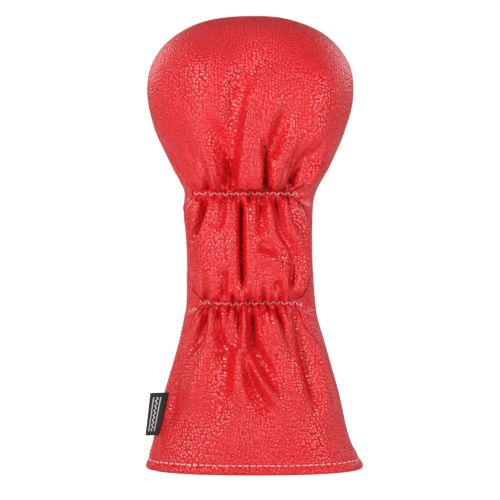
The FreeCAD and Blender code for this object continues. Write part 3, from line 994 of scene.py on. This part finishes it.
def elastic(name, line, body):
    """The flat elastic behind the leather of a gather line."""
    across, up = np.meshgrid(np.linspace(-ELASTIC_HALF_LENGTH, ELASTIC_HALF_LENGTH, 81),
                             np.linspace(line - ELASTIC_HALF_WIDTH, line + ELASTIC_HALF_WIDTH, 9))
    x0, half, back, _ = section(up[:, 0])
    face = -back[:, None] * superellipse((across - x0[:, None]) / half[:, None], SECTION_POWER)
    sunk = soft_floor(np.minimum(back_relief(across, up), 0), 2)
    outer = np.stack([across * 0.985, face - sunk + 1.9, up], -1)
    inner = outer + (0, ELASTIC_THICKNESS, 0)
    tie(closed_sheet(f"{name}_elastic", outer, inner, ELASTIC), body)


zigzag("upper", UPPER_Z, -43.5, 37.5, "head")
elastic("upper", UPPER_Z, "head")
zigzag("lower", LOWER_Z, -38.0, 37.8, "skirt")
elastic("lower", LOWER_Z, "skirt")

HEM_PITCH, HEM_STITCH = 4.7, 3.3


def hem_stitching():
    """Straight stitches all round the hem."""
    r = float(np.interp(HEM_Z, row_z, np.arange(len(row_z))))
    low = int(r)
    ring = []
    for side in ("back", "front"):
        grid, normal = panels[side]["outer"], panels[side]["normal"]
        row = grid[low] * (1 - (r - low)) + grid[low + 1] * (r - low)
        ring.append(np.concatenate([row[3:-3], normal[low][3:-3]], 1))
    ring = np.concatenate(ring + [ring[0][:1]], 0)
    run = run_of(ring[:, :3])
    count = round(run[-1] / HEM_PITCH)
    runs = []
    for k in range(count):
        points = []
        for t in np.linspace(0, 1, 7):
            s = k * run[-1] / count + HEM_STITCH * t
            p = np.array([np.interp(s, run, ring[:, j]) for j in range(6)])
            points.append(p[:3] + p[3:] * (0.05 + 0.34 * math.sin(math.pi * t) ** 0.6))
        runs.append(points)
    tie(tubes("hem_stitching", runs, 0.42, HEM_THREAD), "skirt")


SEAM_PITCH, SEAM_STITCH = 6.0, 4.0
SEAM_DEPTH = 1.6


def seam_stitching():
    """The hidden thread of the seam up both sides and over the crown."""
    runs = []
    for column in (0, -1):
        path = panels["back"]["outer"][4:, column] - panels["back"]["normal"][4:, column] * SEAM_DEPTH
        run = run_of(path)
        for k in range(int(run[-1] / SEAM_PITCH)):
            runs.append([[np.interp(k * SEAM_PITCH + SEAM_STITCH * t, run, path[:, j]) for j in range(3)]
                         for t in np.linspace(0, 1, 5)])
    tie(tubes("seam_stitching", runs, 0.35, SEAM_THREAD))


hem_stitching()
seam_stitching()


# ---------------------------------------------------------------- side label
def label_material():
    """Black woven tape with a pale zigzag between two lines, which carries no lettering."""
    m, tree, bsdf = material("black_woven_label")
    where = attribute(tree)
    split = tree.nodes.new("ShaderNodeSeparateXYZ")
    tree.links.new(attribute(tree, "label_place"), split.inputs["Vector"])
    across, up = split.outputs["X"], split.outputs["Y"]
    weave_a = texture(tree, "ShaderNodeTexWave", where, 620.0, bands_direction="Z")
    weave_b = texture(tree, "ShaderNodeTexWave", where, 620.0, bands_direction="X")
    weave = maths(tree, "MULTIPLY", weave_a.outputs["Fac"], weave_b.outputs["Fac"])

    def band(value, centre, half):
        return maths(tree, "LESS_THAN", maths(tree, "ABSOLUTE", maths(tree, "SUBTRACT", value, centre)), half)

    wave = maths(tree, "SINE", maths(tree, "MULTIPLY", up, 2 * math.pi * 9))
    chain = band(maths(tree, "ADD", across, maths(tree, "MULTIPLY", wave, 0.05)), 0.42, 0.035)
    stripes = maths(tree, "MAXIMUM", chain, band(across, 0.62, 0.028))
    stripes = maths(tree, "MAXIMUM", stripes, band(across, 0.22, 0.028))
    mask = maths(tree, "MULTIPLY", stripes, band(up, 0.5, 0.40))
    mix = tree.nodes.new("ShaderNodeMix")
    mix.data_type = "RGBA"
    black = ramp(tree, weave, [(0.0, (0.006, 0.006, 0.006)), (1.0, (0.030, 0.028, 0.028))])
    tree.links.new(mask, mix.inputs["Factor"])
    tree.links.new(black, mix.inputs["A"])
    mix.inputs["B"].default_value = (0.72, 0.70, 0.69, 1)
    paint(tree, bsdf, mix.outputs["Result"], 0.62)
    bump(tree, bsdf, maths(tree, "ADD", maths(tree, "MULTIPLY", mask, 0.8), weave), 0.00012)
    return m


LABEL_ROWS, LABEL_COLUMNS = 29, 41
LABEL_TIP_X = -79.0
TAPE_THICKNESS = 0.4


def side_label():
    """The tape, folded in two and caught in the left seam. label_place is 0 at the fold and 1 at the seam."""
    low_z, high_z = [corner[2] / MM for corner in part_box("side_label")]
    low_z, high_z = low_z + 1.0, high_z - 2.0
    outer, inner, flat = np.zeros((3, LABEL_ROWS, LABEL_COLUMNS, 3))
    for r in range(LABEL_ROWS):
        v = r / (LABEL_ROWS - 1)
        x0, half, back, _ = section(np.array([low_z + (high_z - low_z) * v]))
        root_x = x0[0] - half[0] * superellipse(-LABEL_Y / back[0], SECTION_POWER) - 0.2
        tip_x = LABEL_TIP_X + 3.6 * v
        for c in range(LABEL_COLUMNS):
            w = 2 * c / (LABEL_COLUMNS - 1) - 1          # -1 and 1 at the seam, 0 at the fold
            share = 1 - abs(w)
            opened = min(1.0, abs(w) * 6)
            x = root_x + (tip_x - root_x) * share
            belly = 0.45 + 0.5 * math.sin(math.pi * share)
            curl = 1.1 * share ** 2 * math.sin(2.2 * v + 0.3) - 0.8 * share
            y = LABEL_Y + math.copysign(belly, w) * opened + curl
            z = low_z + (high_z - low_z) * v - 0.4 * share
            outer[r, c] = (x, y, z)
            inner[r, c] = (x + (TAPE_THICKNESS if abs(w) < 0.12 else 0),
                           y - math.copysign(TAPE_THICKNESS, w) * opened, z)
            flat[r, c] = (abs(w), v, 0)
    label = closed_sheet("side_label", outer, inner, label_material())
    label_place = label.data.attributes.new("label_place", "FLOAT_VECTOR", "POINT")
    label_place.data.foreach_set("vector", np.concatenate([flat, flat]).ravel())
    tie(label, "label")


side_label()

# ---------------------------------------------------------------- floor, light and camera
def stage_material():
    m, tree, bsdf = material("pale_floor")
    where = tree.nodes.new("ShaderNodeTexCoord").outputs["Object"]
    noise = texture(tree, "ShaderNodeTexNoise", where, 4.0)
    pale = ramp(tree, noise.outputs["Fac"], [(0.0, (0.90, 0.90, 0.90)), (1.0, (0.92, 0.92, 0.92))])
    paint(tree, bsdf, pale, 0.9)
    bsdf.inputs["Emission Color"].default_value = (1, 1, 1, 1)
    seen = tree.nodes.new("ShaderNodeLightPath").outputs["Is Camera Ray"]
    tree.links.new(maths(tree, "MULTIPLY", seen, 0.75), bsdf.inputs["Emission Strength"])
    return m


profile = [(-4.0, 0.0), (1.2, 0.0)] + [(1.2 + 1.0 * math.sin(a), 1.0 - math.cos(a))
                                      for a in np.linspace(0.1, math.pi / 2, 12)] + [(2.2, 4.0)]
verts = [(x, y, z) for x in (-5.0, 5.0) for y, z in profile]
n = len(profile)
mesh = bpy.data.meshes.new("floor")
mesh.from_pydata(verts, [], [(k, k + 1, n + k + 1, n + k) for k in range(n - 1)])
mesh.polygons.foreach_set("use_smooth", [True] * len(mesh.polygons))
mesh.materials.append(stage_material())
floor = bpy.data.objects.new("floor", mesh)
bpy.context.scene.collection.objects.link(floor)


AIM = Vector((0, 0, 0.2))


def softbox(name, place_at, width, height, power):
    data = bpy.data.lights.new(name, "AREA")
    data.shape = "RECTANGLE"
    data.size, data.size_y = width, height
    data.energy = power
    obj = bpy.data.objects.new(name, data)
    bpy.context.scene.collection.objects.link(obj)
    obj.location = place_at
    obj.visible_camera = False
    obj.rotation_euler = (AIM - Vector(place_at)).to_track_quat("-Z", "Y").to_euler()


softbox("key", (-0.68, -0.97, 0.52), 0.26, 0.42, 8.9)
softbox("fill", (0.93, -0.88, 0.25), 0.24, 0.42, 6.0)
softbox("top", (0.0, 0.0, 1.5), 1.0, 0.6, 1.4)
softbox("back_left", (-1.0, 0.9, 0.9), 0.6, 0.8, 5.5)
softbox("back_right", (1.0, 0.9, 0.9), 0.6, 0.8, 5.5)

SKY_LIGHT, SKY_SEEN = 0.12, 0.86               # the sky is nearly white to the camera and gives a little light
world = bpy.data.worlds.new("studio")
bpy.context.scene.world = world
world.use_nodes = True
sky = world.node_tree
seen = sky.nodes.new("ShaderNodeLightPath").outputs["Is Camera Ray"]
background = sky.nodes["Background"]
background.inputs["Color"].default_value = (1, 1, 1, 1)
sky.links.new(maths(sky, "MULTIPLY_ADD", seen, SKY_SEEN, SKY_LIGHT), background.inputs["Strength"])
bpy.context.scene.view_settings.view_transform = "Standard"

camera_data = bpy.data.cameras.new("camera")
camera_data.sensor_width = 36.0
camera_data.lens = 99.9
camera = bpy.data.objects.new("camera", camera_data)
bpy.context.scene.collection.objects.link(camera)
camera.location = (-0.0011, -1.05, 0.1637)
camera.rotation_euler = (math.pi / 2, 0, 0)
bpy.context.scene.camera = camera
